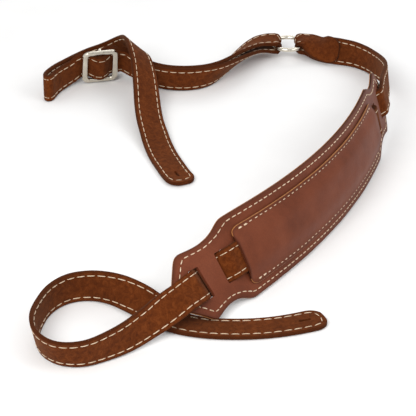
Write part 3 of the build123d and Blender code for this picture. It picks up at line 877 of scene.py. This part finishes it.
def smooth_line(t, points, ts):
    """Smooth curve through points that stand at t, read at ts."""
    h = np.diff(t)
    grade = np.diff(points, axis=0) / h[:, None]
    slope = np.empty_like(points)
    slope[0] = grade[0]
    slope[-1] = grade[-1]
    slope[1:-1] = (grade[:-1] * h[1:, None] + grade[1:] * h[:-1, None]) / (h[:-1] + h[1:])[:, None]
    i = np.clip(np.searchsorted(t, ts, side="right") - 1, 0, len(t) - 2)
    u = ((ts - t[i]) / h[i])[:, None]
    a = 2 * u ** 3 - 3 * u * u + 1
    b = (u ** 3 - 2 * u * u + u) * h[i][:, None]
    c = 3 * u * u - 2 * u ** 3
    d = (u ** 3 - u * u) * h[i][:, None]
    return a * points[i] + b * slope[i] + c * points[i + 1] + d * slope[i + 1]


def spline_rows(rows, per):
    """Smooth curve through listed rows, with per steps between each two."""
    points = np.array(rows, float)
    gaps = np.sqrt(np.linalg.norm(np.diff(points[:, :3], axis=0), axis=1))
    t = np.concatenate([[0.0], np.cumsum(np.maximum(gaps, 0.001))])
    ts = [a + (b - a) * k / per for a, b in zip(t[:-1], t[1:]) for k in range(per)]
    return smooth_line(t, points, np.array(ts + [t[-1]])).tolist()


def leaned(rows):
    """Rows of centre and width direction from x, y, z, lean."""
    out = []
    last = len(rows) - 1
    for i, row in enumerate(rows):
        way = Vector(rows[min(last, i + 1)][:3]) - Vector(rows[max(0, i - 1)][:3])
        way.normalize()
        left = UP.cross(way).normalized()
        up = way.cross(left).normalized()
        a = math.radians(row[3])
        out.append((Vector(row[:3]), up * math.cos(a) + left * math.sin(a)))
    return out


def blend(rows, per):
    """Smooth curve through rows of centre and width direction."""
    flat = [(*c, *w) for c, w in rows]
    return [(Vector(r[:3]), Vector(r[3:]).normalized()) for r in spline_rows(flat, per)]


def stations(rows):
    """Centre, width direction and normal at every row."""
    out = []
    last = len(rows) - 1
    for i, (centre, wide) in enumerate(rows):
        way = (rows[min(last, i + 1)][0] - rows[max(0, i - 1)][0]).normalized()
        wide = (wide - way * wide.dot(way)).normalized()
        out.append((centre, wide, wide.cross(way).normalized()))
    return out


def front_main():
    """Front strap from its tip, through the pad, to the ring's lower leg."""
    a, b = SLOTS[0], SLOTS[1]
    rise, back = STRAP_RISE, STRAP_BACK
    plan = [
        (-a - 24, rise + 0.6), (-a - 12, rise + 0.3), (-a - 5.2, rise), (-a + 5.2, back), (-a + 10, back),
        (-b - 10, back), (-b - 5.2, back), (-b + 5.2, rise), (-b + 10, STRAP_LEVEL),
    ]
    mirror = [(-s, n) for s, n in reversed(plan)]
    level = [(s, STRAP_LEVEL) for s in (-110, -80, -50, -20, 10, 40, 70, 100)]
    on_pad = []
    for s, n in plan + level + mirror:
        on_pad.append((pad_point(PAD_MID + s, HALF_H, n), pad_up(PAD_MID + s)))
    tail = leaned(spline_rows(FRONT_TAIL, 3))
    curve = leaned(spline_rows(FRONT_CURVE, 3))
    join_a = blend([tail[-1], on_pad[0]], 3)[1:-1]
    join_b = blend([on_pad[-1], curve[0]], 3)[1:-1]
    return tail + join_a + blend(on_pad, 2) + join_b + curve


def front_flap(curve):
    """Sewn-back end of the front strap, on the ring side of its main run."""
    rows = []
    gone = 0.0
    before = None
    for centre, wide, out in reversed(curve):
        if before is not None:
            gone += (centre - before).length
        before = centre
        gap = 2 * HALF_T + 0.3 + 4.7 * (1 - smooth(0, 17, gone))
        rows.append((centre + out * gap, wide))
        if gone > 36:
            break
    return rows


def buckle_axes():
    """The buckle's own directions: right, up and out."""
    a, b = BUCKLE_HEADING, BUCKLE_LEAN
    right = Vector((math.cos(a), math.sin(a), 0))
    front = Vector((math.sin(a), -math.cos(a), 0))
    up = UP * math.cos(b) + front * math.sin(b)
    out = front * math.cos(b) - UP * math.sin(b)
    return right, up, out


def buckle_point(x, z, n):
    """Point in the buckle's own directions."""
    right, up, out = buckle_axes()
    return BUCKLE_AT + right * x + up * z + out * n


def weave_row(x, n):
    """Row of the strap in the buckle, x across it and n out of its face."""
    return (buckle_point(x, -0.4, n), buckle_axes()[1])


def bar_wrap():
    """Rows round the centre bar, from its back to its front."""
    rows = []
    mid = BAR_R + 0.35 + HALF_T
    for k in range(1, 8):
        a = math.radians(-90 - 22.5 * k)
        rows.append((buckle_point(mid * math.cos(a), -0.4, -BAR_BACK + mid * math.sin(a)), buckle_axes()[1]))
    return rows


def adjuster_first():
    """Adjuster strap from its sewn end, round the bar, to the ring's upper leg."""
    flap = [weave_row(x, n) for x, n in SEWN_END]
    front = [weave_row(x, n) for x, n in SEWN_FRONT]
    far = leaned(spline_rows(FAR_LAYER, 2))
    return flap + bar_wrap() + front + blend([front[-1], far[0]], 2)[1:-1] + far


def adjuster_second():
    """Adjuster strap from the ring's lower leg, through the buckle, to its tip."""
    near = leaned(spline_rows(NEAR_LAYER, 2))
    places = (22, 18, 14, 11, 8.8, 6.6, 4.4, 2.2, 0, -2.2, -4.4, -6.6, -8.8, -11, -14, -17.5)
    weave = [weave_row(x, -5.1 + 8.3 * (1 - smooth(0.8, 12.3, abs(x)))) for x in places]
    tail = leaned(spline_rows(LOOP_TAIL, 3))
    rows = near + blend([near[-1], weave[0]], 2)[1:-1] + weave
    return rows + blend([weave[-1], tail[0]], 2)[1:-1] + tail


# ---- ribbons -------------------------------------------------------------

class Ribbon:
    """A strap as a run of flat stations and of wraps round the ring."""

    def __init__(self):
        self.kinds = []

    def flat(self, station, bow=0.0):
        self.kinds.append(("flat", station, bow))

    def wrap(self, side, angle, sense):
        self.kinds.append(("wrap", side, angle, sense))

    def ready(self):
        middle = self.row(0.0, 0.0)
        gaps = np.linalg.norm(np.diff(middle, axis=0), axis=1)
        self.t = np.concatenate([[0.0], np.cumsum(np.maximum(gaps, 0.01))])
        self.length = float(self.t[-1])
        return self

    def row(self, w, n):
        """Every station's point at w across and n out."""
        out = []
        for kind in self.kinds:
            if kind[0] == "flat":
                centre, wide, normal = kind[1]
                p = centre + wide * w + normal * n
                p.x += kind[2] * (w / HALF_W) ** 2
                out.append(p)
            else:
                _, side, angle, sense = kind
                a = math.radians(angle)
                r = WRAP_MID + sense * n
                reach = RING_R - r * math.cos(a)
                turn = w / RING_R
                out.append((RING_AT[0] + side * reach * math.cos(turn),
                            RING_AT[1] + side * reach * math.sin(turn), RING_AT[2] + r * math.sin(a)))
        return np.array([tuple(p) for p in out])

    def column(self, w, n, ts):
        """Smooth line along the strap at w across and n out, read at ts."""
        return smooth_line(self.t, self.row(w, n), np.clip(np.asarray(ts, float), 0, self.length))

    def narrowing(self, ts):
        """Share of the half width left near the two rounded tips."""
        out = []
        for t in ts:
            d = min(t, self.length - t)
            dip = 0.0
            if d < TIP_R:
                dip = TIP_R - math.sqrt(max(0.0, TIP_R ** 2 - (TIP_R - d) ** 2))
            out.append(1 - TIP_SHARE * dip / HALF_W)
        return np.array(out)


def ring_ribbon(lead, trail, side, sense):
    """Ribbon that runs up to the ring, wraps it on one side and runs on."""
    made = Ribbon()
    for station in lead[:-5]:
        made.flat(station)
    for i, station in enumerate(lead[-5:]):
        made.flat(station, -side * RING_BOW * (i / 5) ** 2)
    for angle in range(-90, 91, 15):
        made.wrap(side, -sense * angle, sense)
    for i, station in enumerate(trail[:5]):
        made.flat(station, -side * RING_BOW * ((4 - i) / 5) ** 2)
    for station in trail[5:]:
        made.flat(station)
    return made.ready()


def front_ribbon():
    """The front strap's whole ribbon, tip to sewn-back end."""
    run = stations(front_main())
    return ring_ribbon(run, stations(front_flap(run[-30:])), 1, -1)


def adjuster_ribbon():
    """The adjuster strap's whole ribbon, sewn end to tip."""
    return ring_ribbon(stations(adjuster_first()), stations(adjuster_second()), -1, 1)


def ply_profile(inner, outer):
    """Rounded cross-section of one ply: w across and n out, round the ply."""
    face = 1 if outer > inner else -1
    skin = []
    for w in (-12.7, -12.62, -12.35, -11.9, -11.0, -10.2, -9.75, -9.2, -8.65, -8.2, -6.5, -4.0, -1.4):
        edge = 0.42 * (1 - math.sqrt(max(0.0, 1 - (max(0.0, abs(w) - 11.9) / 0.8) ** 2)))
        groove = 0.26 * math.exp(-((abs(w) - SEAM_W) / 0.55) ** 2)
        crown = 0.10 * (1 - (w / HALF_W) ** 2)
        skin.append((w, outer - face * (edge * 1.6 + groove - crown + 0.06)))
    right = [(-w, n) for w, n in reversed(skin)]
    under = [(12.62, inner), (9.0, inner), (3.0, inner), (-3.0, inner), (-9.0, inner), (-12.62, inner)]
    return skin + right + under


def ply_steps(ribbon):
    """Distances along a ribbon: short steps at tips, bends and the ring."""
    ts = [0.0]
    while ts[-1] < ribbon.length - 0.3:
        t = ts[-1]
        d = min(t, ribbon.length - t)
        step = 0.25 if d < 1.2 else (0.7 if d < 4 else (1.3 if d < TIP_R else 2.0))
        ts.append(min(ribbon.length, t + step))
    if ribbon.length - ts[-1] > 1e-6:
        ts.append(ribbon.length)
    return np.array(ts)


def make_ply(name, ribbon, inner, outer, material, node, slit):
    """One suede ply of a strap."""
    ts = ply_steps(ribbon)
    share = ribbon.narrowing(ts)[:, None]
    profile = ply_profile(inner, outer)
    grid = []
    rims = []
    for w, n in profile:
        middle = ribbon.column(0.0, n, ts)
        edge = ribbon.column(w, n, ts)
        grid.append(middle + (edge - middle) * share)
        rims.append(0.75 * smooth(11.5, 12.6, abs(w)))
    rows = [[place(grid[j][i]) for j in range(len(profile))] for i in range(len(ts))]
    verts, faces = loft(rows)
    made = make_object(name, verts, faces, [material], rim=rims * len(ts), sharp=50)
    cut(made, [slit_block(ribbon, slit)])
    finish_piece(made, "strap", node)


def slit_block(ribbon, t):
    """Cutter for a button slit along the strap at t."""
    ts = np.array([t - 0.5, t + 0.5])
    a, b = [Vector(p) for p in ribbon.column(0.0, 0.0, ts)]
    way = (b - a).normalized()
    side = (Vector(ribbon.column(3.0, 0.0, ts)[0]) - a).normalized()
    out = side.cross(way).normalized()
    middle = (a + b) / 2
    outline = []
    for end, start in ((1, -90), (-1, 90)):
        for k in range(9):
            angle = math.radians(start + 22.5 * k)
            x = end * (SLIT_L - SLIT_W) / 2 + SLIT_W / 2 * math.cos(angle)
            outline.append((x, SLIT_W / 2 * math.sin(angle)))
    rows = [[place(middle + way * x + side * y + out * n) for x, y in outline] for n in (-5, 5)]
    verts, faces = loft(rows)
    return make_object("slit_block", verts, faces, [])


SEAM_IN = 3.5
TIP_TURN = 7.0


def tip_seam(side, stop):
    """Distances and offsets of one seam, from the middle of a tip to stop."""
    inner = SEAM_W - TIP_TURN
    path = [(SEAM_IN, 0.0), (SEAM_IN, side * inner)]
    for k in range(7):
        angle = math.radians(90 * k / 6)
        t = TIP_R - (TIP_R - SEAM_IN) * math.cos(angle)
        path.append((t, side * (inner + TIP_TURN * math.sin(angle))))
    t = TIP_R
    while t < stop - 2:
        t += 2.0
        path.append((t, side * SEAM_W))
    return path


def ribbon_line(ribbon, path, n):
    """Points and outward directions of a seam on one side of a strap."""
    ts = np.array([p[0] for p in path])
    ws = np.array([p[1] for p in path])
    here = seam_points(ribbon, ts, ws, n)
    there = seam_points(ribbon, ts, ws, n + math.copysign(0.5, n))
    outs = [Vector(b - a).normalized() for a, b in zip(here, there)]
    return [Vector(p) for p in here], outs


def seam_points(ribbon, ts, ws, n):
    """Points at varying offsets across the strap."""
    middle = ribbon.column(0.0, n, ts)
    left = ribbon.column(-SEAM_W, n, ts)
    right = ribbon.column(SEAM_W, n, ts)
    share = (np.abs(ws) / SEAM_W)[:, None]
    return middle + np.where((ws > 0)[:, None], right - middle, left - middle) * share


def strap_seam(name, ribbon, side, from_start, stop, seed, node):
    """One edge seam of a strap, round its tip, on both faces."""
    path = tip_seam(side, stop)
    if not from_start:
        path = [(ribbon.length - t, w) for t, w in path]
    depth = HALF_T - 0.14
    lines = [ribbon_line(ribbon, path, depth), ribbon_line(ribbon, path, -depth)]
    stitch_rows(name, lines, *STRAP_STITCH, seed, node)


def make_straps():
    """Both straps: two plies each, with their seams."""
    front = front_ribbon()
    adjuster = adjuster_ribbon()
    half = PLY_GAP / 2
    groove_shade = (("front", front, -1, SLIT_AT), ("adjuster", adjuster, 1, adjuster.length - SLIT_AT))
    for word, ribbon, face, slit in groove_shade:
        node = word + "_strap_"
        low, high = face * half, face * HALF_T
        make_ply(word + "_face_ply", ribbon, low, high, SUEDE, node + "face", slit)
        make_ply(word + "_backing_ply", ribbon, -low, -high, SUEDE_BACK, node + "backing", slit)
    stop = front.length - 36
    strap_seam("front_upper_stitches", front, 1, True, stop, 31, "front_strap_upper_thread")
    strap_seam("front_lower_stitches", front, -1, True, stop, 32, "front_strap_lower_thread")
    stop = adjuster.length - 30
    strap_seam("adjuster_upper_stitches", adjuster, 1, False, stop, 33, "adjuster_upper_thread")
    strap_seam("adjuster_lower_stitches", adjuster, -1, False, stop, 34, "adjuster_lower_thread")


# ---- metalware -----------------------------------------------------------

FRAME_SIDES = 20
RING_STEPS = 128
RING_SIDES = 20


def make_buckle():
    """Cast frame with broad side bars, swept between its two outlines."""
    right, up, out = buckle_axes()
    outer = rounded_outline(BUCKLE_W, BUCKLE_H, 6.5, 8)
    inner = rounded_outline(OPEN_W, OPEN_H, 2.6, 8)
    rows = []
    for (ox, oy), (ix, iy) in zip(outer, inner):
        row = []
        for k in range(FRAME_SIDES):
            angle = 2 * math.pi * k / FRAME_SIDES
            c = math.cos(angle)
            q = math.sin(angle)
            across = math.copysign(abs(c) ** 0.72, c)
            depth = math.copysign(abs(q) ** 0.8, q) * BUCKLE_T / 2
            x = (ox + ix) / 2 + (ox - ix) / 2 * across
            y = (oy + iy) / 2 + (oy - iy) / 2 * across
            row.append(place(BUCKLE_AT + right * x + up * y + out * depth))
        rows.append(row)
    verts = [p for row in rows for p in row]
    faces = skirt(0, len(rows), FRAME_SIDES, closed=True)
    made = make_object("buckle_casting", verts, faces, [NICKEL], sharp=60)
    finer = made.modifiers.new("finer", "SUBSURF")
    finer.levels = 1
    finer.render_levels = 2
    finish_piece(made, "buckle", "buckle_frame")


def make_ring():
    """Welded wire ring, with the slight swell of its weld."""
    verts = []
    for i in range(RING_STEPS):
        a = 2 * math.pi * i / RING_STEPS
        weld = 0.10 * math.exp(-((a - 4.6) / 0.05) ** 2)
        for k in range(RING_SIDES):
            b = 2 * math.pi * k / RING_SIDES
            r = WIRE_R - 0.05 + weld
            reach = RING_R + r * math.cos(b)
            x = RING_AT[0] + reach * math.cos(a)
            y = RING_AT[1] + reach * math.sin(a)
            verts.append(place((x, y, RING_AT[2] + r * math.sin(b))))
    faces = skirt(0, RING_STEPS, RING_SIDES, closed=True)
    made = make_object("wire_ring", verts, faces, [NICKEL])
    finish_piece(made, "ring", "ring")


def polish_bar():
    """The CAD centre bar keeps its shape and takes the nickel finish."""
    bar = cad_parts["buckle_centre_bar"]
    if not bar.material_slots:
        bar.data.materials.append(NICKEL)
    for held in bar.material_slots:
        held.material = NICKEL


# ---- stage, light and camera ---------------------------------------------

def make_stage():
    """Plain pale floor."""
    mesh = bpy.data.meshes.new("floor")
    r = 4.0
    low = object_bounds()[0].z - 0.0002
    mesh.from_pydata([(-r, -r, low), (r, -r, low), (r, r, low), (-r, r, low)], [], [(0, 1, 2, 3)])
    s = Shader("floor_paper")
    grain = s.ramp(s.noise(18, 3, 0.5), "Fac", [(0.3, (0.90, 0.90, 0.90)), (0.7, (0.93, 0.93, 0.93))])
    s.link(grain, "Color", s.bsdf, "Base Color")
    s.set(Roughness=0.95, Specular_IOR_Level=0.1)
    mesh.materials.append(s.material)
    floor = bpy.data.objects.new("floor", mesh)
    bpy.context.collection.objects.link(floor)


def area_light(name, at, target, size, power, colour):
    """Soft rectangular light aimed at a point."""
    data = bpy.data.lights.new(name, "AREA")
    data.shape = "RECTANGLE"
    data.size = size
    data.size_y = size * 0.7
    data.energy = power
    data.color = colour
    made = bpy.data.objects.new(name, data)
    made.location = at
    made.rotation_euler = (Vector(target) - Vector(at)).to_track_quat("-Z", "Y").to_euler()
    bpy.context.collection.objects.link(made)


def make_light():
    """Even white surround with a soft key from the upper left."""
    world = bpy.data.worlds.new("studio")
    world.use_nodes = True
    sky = world.node_tree.nodes["Background"]
    sky.inputs["Color"].default_value = (1.0, 1.0, 1.0, 1.0)
    sky.inputs["Strength"].default_value = 0.72
    bpy.context.scene.world = world
    area_light("key", (-0.50, -1.20, 1.00), (0, -0.05, 0.02), 0.9, 15.0, (1.0, 0.99, 0.97))
    area_light("fill", (0.9, -0.5, 0.9), (0, 0, 0.02), 0.8, 4.0, (1.0, 1.0, 1.0))
    area_light("back", (0.1, 1.1, 0.9), (0, 0, 0.02), 0.7, 2.0, (1.0, 1.0, 1.0))


CAMERA_LENS = 173.08
CAMERA_LIFT = math.radians(29)
CAMERA_REACH = 1.661


def make_camera():
    """Camera at the photograph's height and heading."""
    data = bpy.data.cameras.new("camera")
    data.sensor_width = 36
    data.lens = CAMERA_LENS
    data.clip_end = 20
    made = bpy.data.objects.new("camera", data)
    way = Vector((0, -math.cos(CAMERA_LIFT), math.sin(CAMERA_LIFT)))
    made.location = place((0, 0, 0)) + way * CAMERA_REACH
    made.rotation_euler = (math.pi / 2 - CAMERA_LIFT, 0, 0)
    bpy.context.collection.objects.link(made)
    bpy.context.scene.camera = made


bpy.context.scene.view_settings.view_transform = "Standard"
make_camera()
make_pad()
make_cushion()
make_pad_stitches()
make_straps()
make_buckle()
make_ring()
polish_bar()
make_stage()
make_light()
